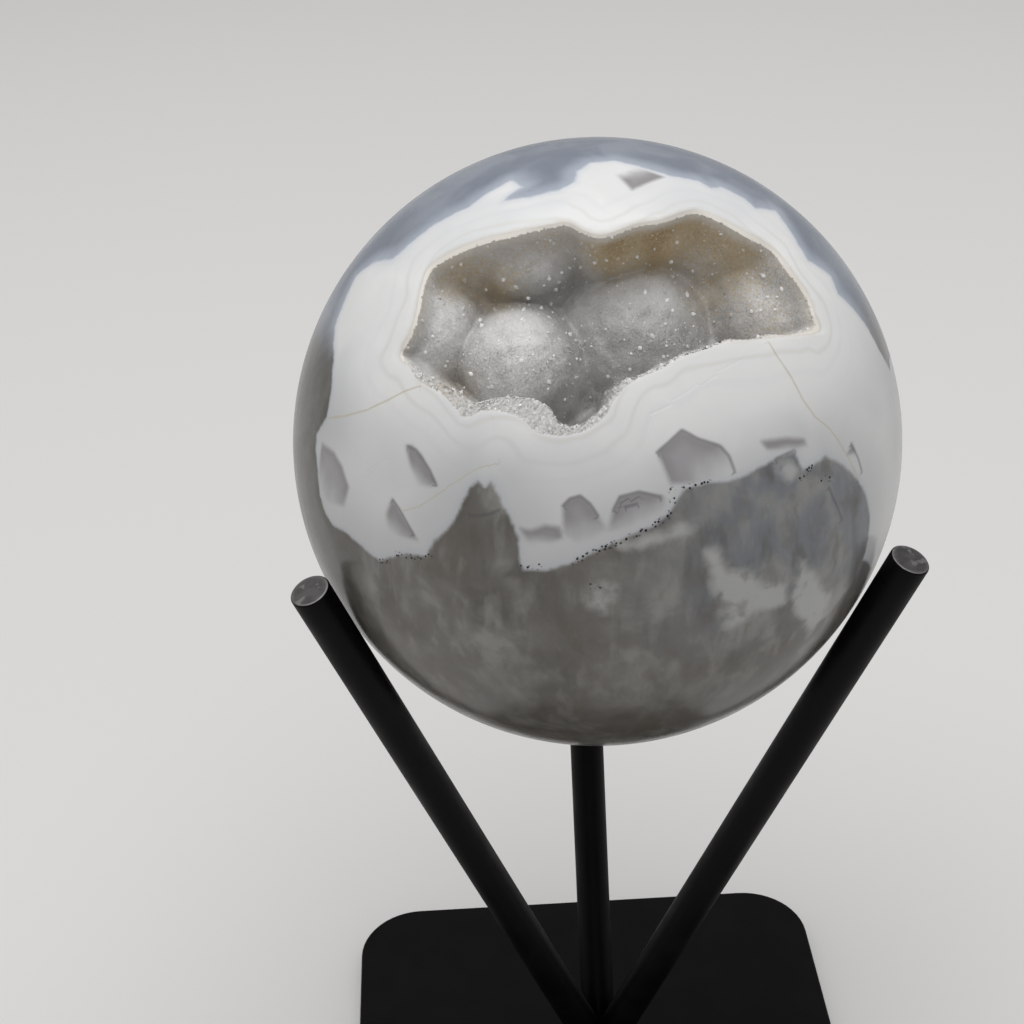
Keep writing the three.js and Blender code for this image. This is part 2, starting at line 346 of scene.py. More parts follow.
@dataclass(frozen=True)
class PhotoCamera:
    """The camera at the photograph's viewing angle, fitted to the ball's outline and the three rods.

    Angles are degrees. Distance and offsets are millimetres from the ball's centre.
    """

    ball_height: float
    ball_radius: float
    focal_px: float = 1824.0
    elevation: float = 30.35
    roll: float = -1.93
    yaw: float = -1.94
    distance: float = 273.4
    right_by: float = -12.5
    up_by: float = -10.3
    sensor_mm: float = 36.0

    def axes(self) -> tuple[Array, Array, Array]:
        """Turn the angles to directions.

        Returns:
            The picture's right, up and forward directions.
        """
        e, w, r = (math.radians(a) for a in (self.elevation, self.yaw, self.roll))
        forward = np.array([-math.sin(w) * math.cos(e), math.cos(w) * math.cos(e), -math.sin(e)])
        level = np.array([math.cos(w), math.sin(w), 0.0])
        upright = np.cross(level, forward)
        right = math.cos(r) * level + math.sin(r) * upright
        return right, math.cos(r) * upright - math.sin(r) * level, forward

    def place(self) -> Array:
        """Return where the camera stands, from the ball's centre."""
        right, up, forward = self.axes()
        return right * self.right_by + up * self.up_by - forward * self.distance

    def on_ball(self, pixels: Points) -> Array:
        """Find the places on the ball that pixels of the photograph show.

        Args:
            pixels: x to the right and y down.

        Returns:
            Points on the ball from its centre, at its limb where a pixel lies just outside it.
        """
        right, up, forward = self.axes()
        x, y = (np.array(pixels, float).T - PICTURE_PX / 2) / self.focal_px
        rays = unit(forward + x[:, None] * right - y[:, None] * up)
        eye = self.place()
        along = rays @ eye
        room = np.maximum(along**2 - eye @ eye + self.ball_radius**2, 0)
        return unit(eye - rays * (along + np.sqrt(room))[:, None]) * self.ball_radius

    def install(self) -> None:
        """Make the scene's camera."""
        data = bpy.data.cameras.new("photo_camera")
        data.sensor_width = self.sensor_mm
        data.lens = self.focal_px * self.sensor_mm / PICTURE_PX
        camera = bpy.data.objects.new("photo_camera", data)
        bpy.context.scene.collection.objects.link(camera)
        right, up, forward = self.axes()
        columns = np.stack([right, up, -forward, (self.place() + [0, 0, self.ball_height]) * MM], axis=1)
        camera.matrix_world = Matrix(np.vstack([columns, [0, 0, 0, 1]]).tolist())
        bpy.context.scene.camera = camera


@dataclass(frozen=True)
class Lump:
    """A rounded swelling of the hollow's lining, in millimetres of the hollow's frame."""

    u: float
    v: float
    under: float
    radius: float
    round_share: float = 0.93

    def drop(self, away: Array) -> Array:
        """Find how far it falls away from its top: round first, and then as straight as a cone.

        Args:
            away: distances from its top, seen from the mouth.

        Returns:
            Depths under its top.
        """
        edge = self.round_share * self.radius
        near = np.minimum(away, edge)
        slope = edge / math.sqrt(self.radius**2 - edge**2)
        return self.radius - np.sqrt(self.radius**2 - near**2) + slope * (away - near)


@dataclass(frozen=True)
class Patch:
    """A soft round patch of the hollow: a pit of so many millimetres in its lining, or a stain of iron."""

    u: float
    v: float
    spread: float
    strength: float

    def at(self, u: Array, v: Array) -> Array:
        """Return how strong it is at places of the mouth."""
        return self.strength * np.exp(-((u - self.u) ** 2 + (v - self.v) ** 2) / self.spread**2)


def wrapped(angles: Array, reach: Array) -> Outline:
    """Repeat an outline one turn either way, so that any direction can be looked up in it."""
    turn = 2 * math.pi
    return np.concatenate([angles - turn, angles, angles + turn]), np.tile(reach, 3)


def thinned(columns: int, share: float) -> int:
    """Return how many points a ring needs at a share of the widest one's size, halved as it shrinks."""
    return next((columns // part for limit, part in THINNING if share < limit), columns)


@dataclass(frozen=True)
class Hollow:
    """The opening and its lining, in its own frame: u to the right, v up the slope, w out of the mouth."""

    camera: PhotoCamera
    mouth_elevation: float = 36.0
    mouth_centre: tuple[float, float] = (-1.0, 11.0)
    depth: float = 17.5
    rim_depth: float = 0.6
    bowl_power: float = 3.8
    power_swing: float = 1.2
    low_power: float = 8.0
    crease: float = 1.8
    # The next three set the painted shade on the crystals: how wide a darkened crease is, and how dark the
    # shade is there and deep in the hollow
    dark_crease: float = 3.6
    crease_gloom: float = 0.2
    deep_gloom: float = 0.54
    lip_depth: float = 4.0
    lip_from_v: float = 5.5
    cut_to_v: float = 8.5
    fade: float = 3.0
    columns: int = 640
    lumps: tuple[Lump, ...] = (
        Lump(-11.6, 6.8, 7.2, 8.4), Lump(4.3, 11.5, 10.8, 10.5), Lump(23, 13.5, 5.8, 8.8),
        Lump(-24, 12, 3.8, 8.8), Lump(-9.5, 23, 4.6, 7.6), Lump(1.5, 24.5, 2.8, 5.4), Lump(8, 26, 2.8, 5.6),
        Lump(19, 26, 6, 7),
    )
    pits: tuple[Patch, ...] = (Patch(-5.2, -2.4, 3, 4.5), Patch(-1.5, 1.2, 2.4, 3), Patch(-21, 2.6, 3.4, 2.5))
    stains: tuple[Patch, ...] = (
        Patch(-20, 20, 4.5, 0.4), Patch(-14, 17.5, 4, 0.35), Patch(-8, 25, 5, 0.35), Patch(1, 22, 3.6, 0.9),
        Patch(7, 23, 3.6, 0.85), Patch(13, 25, 5, 0.6), Patch(19, 21, 4.5, 0.5), Patch(-21, 4, 4, 0.25),
        Patch(13.5, 15.5, 3.5, 0.25), Patch(22, 12, 6, 0.22),
    )

    def frame(self) -> Array:
        """Return the directions of u, v and w in the part's frame, as rows."""
        e = math.radians(self.mouth_elevation)
        return np.array([[1, 0, 0], [0, math.sin(e), math.cos(e)], [0, -math.cos(e), math.sin(e)]])

    def outline(self, pixels: Points, fineness: int = 4) -> Outline:
        """Read a traced outline from the mouth's middle.

        Args:
            pixels: the outline in the photograph.
            fineness: how many points it gets for each column of the mesh.

        Returns:
            Rising directions, and the distance at each.
        """
        ring = smooth_ring(self.camera.on_ball(pixels) @ self.frame().T, fineness * self.columns)
        off = ring[:, :2] - self.mouth_centre
        angle = np.arctan2(off[:, 1], off[:, 0])
        order = np.argsort(angle)
        return angle[order], np.hypot(*off.T)[order]

    def column_angles(self) -> Array:
        """Return directions from the mouth's middle to evenly spaced points of the crust's outer edge."""
        return self.outline(CRUST_OUTER_PX, 1)[0]

    def spot(self, turn: Array, reach: Array) -> tuple[Array, Array]:
        """Return the u and v of places at directions and distances from the mouth's middle."""
        return self.mouth_centre[0] + reach * np.cos(turn), self.mouth_centre[1] + reach * np.sin(turn)

    def polished(self, u: Array | float, v: Array | float) -> Array:
        """Return the height of the ball's polished surface."""
        return np.sqrt(np.maximum(self.camera.ball_radius**2 - u * u - v * v, 0))

    def under_polish(self, points: Array) -> Array:
        """Return how deep points of the hollow's frame lie under the polished surface."""
        return self.polished(points[:, 0], points[:, 1]) - points[:, 2]

    def swells(self, u: Array, v: Array, rim: Outline) -> list[Array]:
        """Find the heights of the bowl and of every lump under places of the mouth.

        Args:
            u: places to the right.
            v: places up the slope.
            rim: the outline that the bowl rises to.

        Returns:
            Heights along w, those of the bowl first.
        """
        du, dv = u - self.mouth_centre[0], v - self.mouth_centre[1]
        out = np.maximum(np.hypot(du, dv), 1e-6)
        share = np.minimum(out / np.interp(np.arctan2(dv, du), *rim), 1)
        power = self.bowl_power - self.power_swing * dv / out + self.low_power * np.maximum(-dv / out, 0)
        deep = self.depth - self.rim_depth
        heights = [self.polished(u, v) - self.rim_depth - deep * (1 - share**power)]
        for lump in self.lumps:
            crown = self.polished(lump.u, lump.v) - lump.under
            heights.append(crown - lump.drop(np.hypot(u - lump.u, v - lump.v)))
        return heights

    def lining(self, u: Array, v: Array, rim: Outline) -> Array:
        """Find the height of the lining under places of the mouth.

        Args:
            u: places to the right.
            v: places up the slope.
            rim: the outline that the bowl rises to.

        Returns:
            Heights along w.
        """
        floor, *tops = self.swells(u, v, rim)
        for top in tops:
            near = np.maximum(self.crease - np.abs(floor - top), 0) / self.crease
            floor = np.maximum(floor, top) + near**2 * self.crease / 4
        for pit in self.pits:
            floor = floor - pit.at(u, v)
        return floor

    def gloom_at(self, u: Array, v: Array, rim: Outline) -> Array:
        """Find the painted shade on the clear crystals: darker in a crease between lumps and further down.

        Args:
            u: places to the right.
            v: places up the slope.
            rim: the outline that the bowl rises to.

        Returns:
            The painted shade, from 0 to 1.
        """
        ranked = np.sort(np.stack(self.swells(u, v, rim)), axis=0)
        crease = np.clip(1 - (ranked[-1] - ranked[-2]) / self.dark_crease, 0, 1)
        deep = self.polished(u, v) - self.lining(u, v, rim)
        shaded = ramp(deep, 7, 5) * (1 - 0.8 * ramp(deep, 12, 4))
        return self.crease_gloom * crease * ramp(deep, 3, 4) + self.deep_gloom * shaded * (1 - 0.5 * crease)

    def lip_at(self, v: Array, deep: Array) -> Array:
        """Return how far the white agate shows through the lining, which it does under the upper rim."""
        return np.clip(1 - deep / self.lip_depth, 0, 1) * ramp(v, self.lip_from_v, self.fade)

    def cut_at(self, v: Array) -> Array:
        """Return how far the crust is chipped back at the polish, which it is along the lower rim."""
        return np.clip((self.cut_to_v - v) / self.fade, 0, 1)

    def stain_at(self, u: Array, v: Array) -> Array:
        """Return how heavily the crystals are stained, from 0 to 1."""
        return 1 - math.prod(1 - stain.at(u, v) for stain in self.stains)

    def rings(self, shares: Array, rim: Outline, lowered: float, most: int) -> list[Array]:
        """Lay rings on the lining.

        Args:
            shares: how far out each ring lies, as a share of the rim's distance.
            rim: the outline that the rings follow.
            lowered: how far under the lining they lie.
            most: how many points the widest ring has.

        Returns:
            The rings, in the hollow's frame.
        """
        angles, made = self.column_angles(), []
        for share in shares:
            turn = angles[:: self.columns // thinned(most, share)]
            u, v = self.spot(turn, share * np.interp(turn, *rim))
            made.append(np.stack([u, v, self.lining(u, v, rim) - lowered], axis=1))
        return made


def spans(line: Array, radius: float) -> Array:
    """Break a line on the ball into short spans that follow the surface.

    Args:
        line: its corners, from the ball's centre.
        radius: the ball's radius.

    Returns:
        The corners of the broken line.
    """
    made = [line[:1]]
    for a, b in zip(line[:-1], line[1:]):
        count = max(1, math.ceil(np.linalg.norm(b - a) / SPAN_MM))
        t = (np.arange(1, count + 1) / count)[:, None]
        made.append(unit(a * (1 - t) + b * t) * radius)
    return np.vstack(made)


def span_gap(points: Array, a: Array, b: Array) -> tuple[Array, Array]:
    """Return how far points lie from a span, and the share of its length that each lies along it."""
    along = (points - a) @ (b - a) / ((b - a) @ (b - a))
    return np.linalg.norm(points - a - np.clip(along, 0, 1)[:, None] * (b - a), axis=1), along


def side_distance(points: Array, lines: Sequence[Array], radius: float) -> Array:
    """Measure how far points of the ball lie from the nearest of some lines.

    Args:
        points: places on the ball, from its centre.
        lines: open lines on the ball.
        radius: the ball's radius.

    Returns:
        Distances, less than zero on a line's right-hand side.
    """
    best = np.full(len(points), FAR_OFF)
    for line in lines:
        path = spans(line, radius)
        last = len(path) - 2
        for k, (a, b) in enumerate(zip(path[:-1], path[1:])):
            gap, along = span_gap(points, a, b)
            side = np.where(points @ np.cross(a, b) < 0, -1.0, 1.0)
            side[((k == 0) & (along < 0)) | ((k == last) & (along > 1))] = 1.0
            closer = gap < np.abs(best)
            best[closer] = (gap * side)[closer]
    return best


def inside_distance(points: Array, outline: Array, radius: float) -> Array:
    """Measure how far points of the ball lie inside a closed outline.

    Args:
        points: places on the ball, from its centre.
        outline: the corners of the outline.
        radius: the ball's radius.

    Returns:
        Distances, less than zero outside.
    """
    path = spans(np.vstack([outline, outline[:1]]), radius)
    middle = unit(path.mean(axis=0))
    across = unit(np.cross(middle, [0.3, 0.1, 1.0]))
    axes = (across, np.cross(middle, across), middle)

    def flat(places: Array) -> Array:
        """Unroll places round the outline's middle on to a plane.

        Args:
            places: points on the ball, from its centre.

        Returns:
            Rows of x and y.
        """
        x, y, z = (unit(places) @ axis for axis in axes)
        bend = np.arccos(np.clip(z, -1, 1)) / np.maximum(np.hypot(x, y), 1e-9)
        return np.stack([x * bend, y * bend], axis=1)

    spot, ring = flat(points), flat(path)
    best = np.full(len(points), FAR_OFF)
    within = np.zeros(len(points), bool)
    for a, b, p, q in zip(path[:-1], path[1:], ring[:-1], ring[1:]):
        best = np.minimum(best, span_gap(points, a, b)[0])
        crosses = (p[1] > spot[:, 1]) != (q[1] > spot[:, 1])
        rise = q[1] - p[1] if q[1] != p[1] else 1e-9
        within ^= crosses & (spot[:, 0] < p[0] + (spot[:, 1] - p[1]) / rise * (q[0] - p[0]))
    return np.where(within, best, -best)


@dataclass(frozen=True)
class Grain:
    """A noise: its size in millimetres, how fine and warped it is, and how far it is drawn out upright."""

    name: str
    size: float
    detail: float = 3.0
    warp: float = 0.0
    drawn: float = 1.0


@dataclass(frozen=True)
class Tint:
    """A colour laid over a finish: none of it at one value of a reading, and the most of it at another."""

    value: str
    none: float
    full: float
    most: float
    color: str
    within: str = ""


class Recipe:
    """A material while it is made up, and the readings that its colours follow."""

    def __init__(self, name: str, grains: Sequence[Grain], notes: Sequence[str] = ()) -> None:
        """Start with the place on the object, the noises and the numbers that are kept on a piece.

        Args:
            name: the material's name.
            grains: the noises.
            notes: the names of the kept numbers.
        """
        self.made = bpy.data.materials.new(name)
        self.made.use_nodes = True
        self.made.node_tree.nodes.clear()
        self.read: dict[str, Socket] = {}
        if grains:
            self.put("place", "TexCoord", {}, "Object")
        for grain in grains:
            self.put("drawn", "Mapping", {"Vector": "place", "Scale": (1.0, 1.0, 1 / grain.drawn)})
            self.put(grain.name, "TexNoise", {
                "Vector": "drawn", "Scale": 1 / (grain.size * MM), "Detail": grain.detail,
                "Distortion": grain.warp})
        for kept in notes:
            self.put(kept, "Attribute", {}, "Fac", attribute_name=kept)

    def put(self, name: str, kind: str, feeds: Mapping, output: int | str = 0, **settings: object) -> None:
        """Add a node, and keep what it gives as a reading.

        Args:
            name: the reading's name.
            kind: the node's type name, after ShaderNode.
            feeds: its inputs, where a text names a reading or is a colour code.
            output: the output that is kept.
            settings: the node's own properties.
        """
        known = {key: self.read.get(fed, fed) if isinstance(fed, str) else fed for key, fed in feeds.items()}
        self.read[name] = add(self.made.node_tree, kind, known, **settings).outputs[output]

    def tint(self, name: str, base: str, *tints: Tint) -> None:
        """Lay tints over a base colour in turn.

        Args:
            name: the reading that the colour is kept as.
            base: a colour code or a reading.
            tints: the tints, whose colour may also be a reading.
        """
        for tint in tints:
            self.put("amount", "MapRange", {
                "Value": tint.value, "From Min": tint.none, "From Max": tint.full, "To Max": tint.most,
            }, interpolation_type="SMOOTHSTEP")
            if tint.within:
                self.put("amount", "Math", {0: "amount", 1: tint.within}, operation="MULTIPLY")
            feeds = {MIX_AMOUNT: "amount", MIX_UNDER: base, MIX_OVER: tint.color}
            self.put(name, "Mix", feeds, MIX_RESULT, data_type="RGBA")
            base = name

    def close(self, feeds: Mapping) -> Finish:
        """Add the shader with its inputs.

        Args:
            feeds: its inputs, as put takes them.

        Returns:
            The material.
        """
        self.put("shader", "BsdfPrincipled", feeds)
        add(self.made.node_tree, "OutputMaterial", {"Surface": self.read["shader"]})
        return self.made


@dataclass(frozen=True)
class PolishedAgate:
    """Agate, ground round and polished: white opaque bands, blue-grey chalcedony and cloudy grey quartz.

    The polish gives a clear, soft gloss. Light goes a little way into the stone before it comes back. Painted
    shade darkens the stone towards the bottom and at its far left and right.
    """

    ball_height: float
    white: str = "#e3e3e2"
    white_bright: str = "#eeeeec"
    white_shaded: str = "#d3d5d7"
    # grey of painted shade on the white agate
    white_painted_shade: str = "#a3a4a6"
    white_line: str = "#d8d5cc"
    blue_edge: str = "#c3cad6"
    rim_cream: str = "#d6cdbe"
    quartz: str = "#716e6a"
    quartz_dark: str = "#585550"
    quartz_brown: str = "#60564c"
    quartz_blue: str = "#7b8087"
    quartz_light: str = "#94938f"
    # dark of painted shade on the quartz
    quartz_painted_shade: str = "#4f4b46"
    milk: str = "#b0b0ae"
    chalcedony: str = "#7c838f"
    chalcedony_light: str = "#9298a2"
    tooth: str = "#8f8c8d"
    tooth_pale: str = "#a4a2a4"
    seam: str = "#57555a"
    speck: str = "#23242c"
    crack: str = "#bdb298"
    band_mm: float = 2.6
    speck_mm: float = 0.5
    grains: tuple[Grain, ...] = (
        Grain("cloud", 17.0, 2.0, 0.4), Grain("wisp", 3.4, 5.0, 0.15, 2.8), Grain("veil", 9.0, 5.0, 0.35),
        Grain("mottle", 3.4, 5.0, 0.2), Grain("fine", 1.1, 4.0, 0.3),
    )

    def material(self) -> Finish:
        """Mix the stone's material.

        Returns:
            The material.
        """
        mix = Recipe("polished_agate", self.grains, (
            "white_edge", "rim_gap", "upper", "tooth", "tooth_base", "milk", "crack", "crack_away", "seam",
            "seam_away", "speck_row"))
        for name in "xz":
            mix.put(name, "SeparateXYZ", {0: "place"}, name.upper())
        for name in ("crack", "seam"):
            mix.put(name, "Math", {0: name}, operation="ABSOLUTE")
        for name, source, by, reach in (
            ("edge", "white_edge", "fine", 0.16), ("milk", "milk", "mottle", 0.9),
            ("tooth", "tooth", "fine", 0.05), ("crack", "crack", "fine", 0.05),
            ("base", "tooth_base", "wisp", 0.12), ("height", "z", "cloud", 3 * MM),
            ("lip", "rim_gap", "fine", 0.25), ("ripple", "rim_gap", "cloud", 2.2),
        ):
            mix.put("centred", "Math", {0: by, 1: 0.5}, operation="SUBTRACT")
            mix.put(name, "Math", {0: "centred", 1: 4 * reach, 2: source}, operation="MULTIPLY_ADD")
        mix.put("turns", "Math", {0: "ripple", 1: 2 * math.pi / self.band_mm}, operation="MULTIPLY")
        mix.put("wave", "Math", {0: "turns"}, operation="SINE")
        mix.put("dots", "TexVoronoi", {"Vector": "place", "Scale": 1 / (self.speck_mm * MM)})
        centre = self.ball_height
        # low, under, far_right and far_left mask painted shade: the stone is painted darker low down and at its
        # left and right sides
        for name, value, none, full in (
            ("high", "height", (centre + 17) * MM, (centre + 29) * MM),
            ("low", "z", (centre + 28) * MM, (centre + 12) * MM),
            ("right", "x", -4 * MM, 18 * MM),
            ("far_right", "x", 36 * MM, 45 * MM),
            ("far_left", "x", -30 * MM, -41 * MM),
            ("under", "z", (centre - 4) * MM, (centre - 25) * MM),
            ("near_rim", "rim_gap", 10.0, 2.0),
            ("on_line", "rim_gap", 4.5, 2.5),
            ("point", "base", 1.1, 0.35),
            ("near_seam", "seam_away", 0.9, 0.5),
            ("near_crack", "crack_away", 0.9, 0.5),
            ("speckled", "dots", 0.4, 0.3),
        ):
            feeds = {"Value": value, "From Min": none, "From Max": full}
            mix.put(name, "MapRange", feeds, interpolation_type="SMOOTHSTEP")

        mix.tint(
            "cloudy quartz", self.quartz,
            Tint("cloud", 0.54, 0.34, 0.7, self.quartz_dark),
            Tint("z", (centre - 14) * MM, (centre + 2) * MM, 0.75, self.quartz_blue, "right"),
            Tint("veil", 0.46, 0.68, 0.8, self.quartz_light),
            Tint("veil", 0.47, 0.3, 0.5, self.quartz_brown),
            Tint("wisp", 0.5, 0.72, 0.6, self.quartz_light),
            Tint("wisp", 0.48, 0.3, 0.5, self.quartz_dark),
            Tint("milk", -1.1, 1.3, 0.9, self.milk),
            Tint("mottle", 0.48, 0.3, 0.5, self.quartz),
            # painted shade: the quartz is darker towards the bottom and at its far left and right
            Tint("under", 0.0, 1.0, 0.55, self.quartz_painted_shade),
            Tint("far_right", 0.0, 1.0, 0.6, self.quartz_painted_shade),
            Tint("far_left", 0.0, 1.0, 0.6, self.quartz_painted_shade),
        )
        mix.tint(
            "blue chalcedony", self.chalcedony,
            Tint("veil", 0.4, 0.65, 0.8, self.chalcedony_light),
            Tint("cloud", 0.45, 0.3, 0.35, self.quartz_blue),
            Tint("edge", -3.5, 0.0, 0.5, self.blue_edge),
        )
        mix.tint("quartz point", self.tooth, Tint("tooth", 0.1, 2.2, 0.7, self.tooth_pale))
        mix.tint(
            "white agate", self.white,
            Tint("veil", 0.45, 0.75, 0.5, self.white_bright),
            Tint("cloud", 0.52, 0.32, 0.5, self.white_shaded),
            Tint("wave", 0.0, 1.0, 0.26, self.white_shaded, "near_rim"),
            Tint("wave", 0.75, 1.0, 0.4, self.white_line, "on_line"),
            Tint("edge", 1.4, 0.0, 0.4, self.blue_edge),
            # painted shade: the white is greyer low down, near its lower edge, and at the far right
            Tint("low", 0.0, 1.0, 0.34, self.white_painted_shade),
            Tint("edge", 9.0, 0.5, 0.34, self.white_painted_shade, "low"),
            Tint("far_right", 0.0, 1.0, 0.55, self.white_painted_shade),
            Tint("lip", 0.9, 0.0, 0.5, self.rim_cream, "upper"),
            Tint("tooth", -0.55, 0.5, 0.95, "quartz point", "point"),
        )
        mix.tint(
            "whole", "cloudy quartz",
            Tint("high", 0.0, 1.0, 1.0, "blue chalcedony"),
            Tint("edge", -0.4, 0.35, 1.0, "white agate"),
            Tint("seam", 0.42, 0.0, 0.5, self.seam, "near_seam"),
            Tint("crack", 0.22, 0.06, 0.5, self.crack, "near_crack"),
            Tint("speck_row", 0.6, 0.2, 1.0, self.speck, "speckled"),
        )
        mix.put("relief", "Bump", {"Height": "crack", "Strength": 0.1, "Distance": 0.05 * MM})
        mix.put("gloss", "MapRange", {
            "Value": "wisp", "From Min": 0.2, "From Max": 0.8, "To Min": 0.18, "To Max": 0.28})
        return mix.close({
            "Base Color": "whole", "Roughness": "gloss", "Normal": "relief", "IOR": 1.54,
            "Specular IOR Level": 0.26,
            "Subsurface Weight": 0.35, "Subsurface Radius": (1.0, 1.0, 1.0), "Subsurface Scale": 1.2 * MM})


@dataclass(frozen=True)
class DruzyQuartz:
    """Drusy quartz: a crust of tiny clear crystals, grown in place, whose facets glitter.

    Clear quartz over grey chalcedony looks grey and sugary, and iron stain turns it brown. Under the upper
    rim it thins out on the white agate. Painted shade darkens it in creases and deep in the hollow, and a few
    crystals are painted white, as frosted ones and as painted glints.
    """

    grey: str = "#d1d0cf"
    grey_dark: str = "#bebdbb"
    # colour of painted shade, in creases and deep in the hollow
    gloom: str = "#86837f"
    # white of frosted crystals and of painted glints
    frost: str = "#f4f3f1"
    cut: str = "#dad8d5"
    white: str = "#ddd8cf"
    stain_light: str = "#c9b48e"
    stain_heavy: str = "#a38457"
    grains: tuple[Grain, ...] = (Grain("patch", 3.0, 4.0), Grain("grit", 0.5, 4.0))

    def material(self) -> Finish:
        """Mix the crust's material.

        Returns:
            The material.
        """
        mix = Recipe("druzy_quartz", self.grains, ("stain", "frost", "lip", "cut", "gloom"))
        mix.put("centred", "Math", {0: "grit", 1: 0.5}, operation="SUBTRACT")
        mix.put("uneven", "Math", {0: "centred", 1: 0.8, 2: "stain"}, operation="MULTIPLY_ADD")
        mix.tint(
            "color", self.grey,
            Tint("patch", 0.55, 0.35, 0.6, self.grey_dark),
            # painted shade: darker in creases and deep in the hollow
            Tint("gloom", 0.0, 1.0, 0.9, self.gloom),
            Tint("cut", 0.1, 0.9, 0.8, self.cut),
            Tint("uneven", 0.05, 0.65, 0.9, self.stain_light),
            Tint("uneven", 0.55, 1.1, 0.8, self.stain_heavy),
            Tint("lip", 0.1, 0.85, 1.0, self.white),
            # a few crystals painted white: frosted ones and painted glints
            Tint("frost", 0.0, 1.0, 1.0, self.frost),
        )
        return mix.close({"Base Color": "color", "Roughness": 0.34, "IOR": 1.54, "Specular IOR Level": 0.35})


@dataclass(frozen=True)
class SatinBlackPaint:
    """Satin black powder coat on steel: sprayed and baked, with a fine orange peel and a soft sheen."""

    black: str = "#040404"
    dusty: str = "#090909"
    grains: tuple[Grain, ...] = (Grain("peel", 0.9, 2.0), Grain("dust", 7.0, 6.0))

    def material(self) -> Finish:
        """Mix the paint's material.

        Returns:
            The material.
        """
        mix = Recipe("satin_black_paint", self.grains)
        mix.tint("color", self.black, Tint("dust", 0.4, 0.7, 1.0, self.dusty))
        mix.put("rough", "MapRange", {
            "Value": "dust", "From Min": 0.3, "From Max": 0.7, "To Min": 0.42, "To Max": 0.56})
        mix.put("relief", "Bump", {"Height": "peel", "Strength": 0.35, "Distance": 0.06 * MM})
        return mix.close({
            "Base Color": "color", "Roughness": "rough", "Normal": "relief", "IOR": 1.5,
            "Specular IOR Level": 0.1})


@dataclass(frozen=True)
class SawnSteel:
    """Mild steel as the saw left it: bare, grey and finely scored, with black paint round its edge."""

    steel: str = "#6c6b6a"
    tarnish: str = "#514f4e"
    bright: str = "#989795"
    paint: str = "#0c0c0c"
    score_mm: float = 0.25
    grains: tuple[Grain, ...] = (Grain("patch", 2.0, 3.0), Grain("streak", 1.3, 2.0, 0.0, 6.0))

    def material(self) -> Finish:
        """Mix the sawn end's material.

        Returns:
            The material.
        """
        mix = Recipe("sawn_steel", self.grains, ("rim",))
        mix.put("drawn", "Mapping", {"Vector": "place", "Scale": (0.08, 1.0, 1.0)})
        feeds = {"Vector": "drawn", "Scale": 1 / (self.score_mm * MM), "Detail": 3.0}
        mix.put("score", "TexNoise", feeds)
        mix.put("worn", "Math", {0: "patch", 1: 0.3, 2: "rim"}, operation="MULTIPLY_ADD")
        mix.tint(
            "color", self.steel,
            Tint("patch", 0.4, 0.65, 0.6, self.tarnish),
            Tint("streak", 0.56, 0.66, 0.7, self.bright),
            Tint("rim", 0.78, 0.92, 0.5, self.bright),
            Tint("worn", 1.08, 1.16, 1.0, self.paint),
        )
        mix.put("bare", "MapRange", {"Value": "worn", "From Min": 1.16, "From Max": 1.08})
        mix.put("relief", "Bump", {"Height": "score", "Strength": 0.6, "Distance": 0.05 * MM})
        return mix.close({"Base Color": "color", "Metallic": "bare", "Roughness": 0.48, "Normal": "relief"})


@dataclass(frozen=True)
class Bed:
    """What crystals grow on: the lining's triangles, the ways that they face, and the rim over them."""

    corners: Array
    out: Array
    rim: Outline


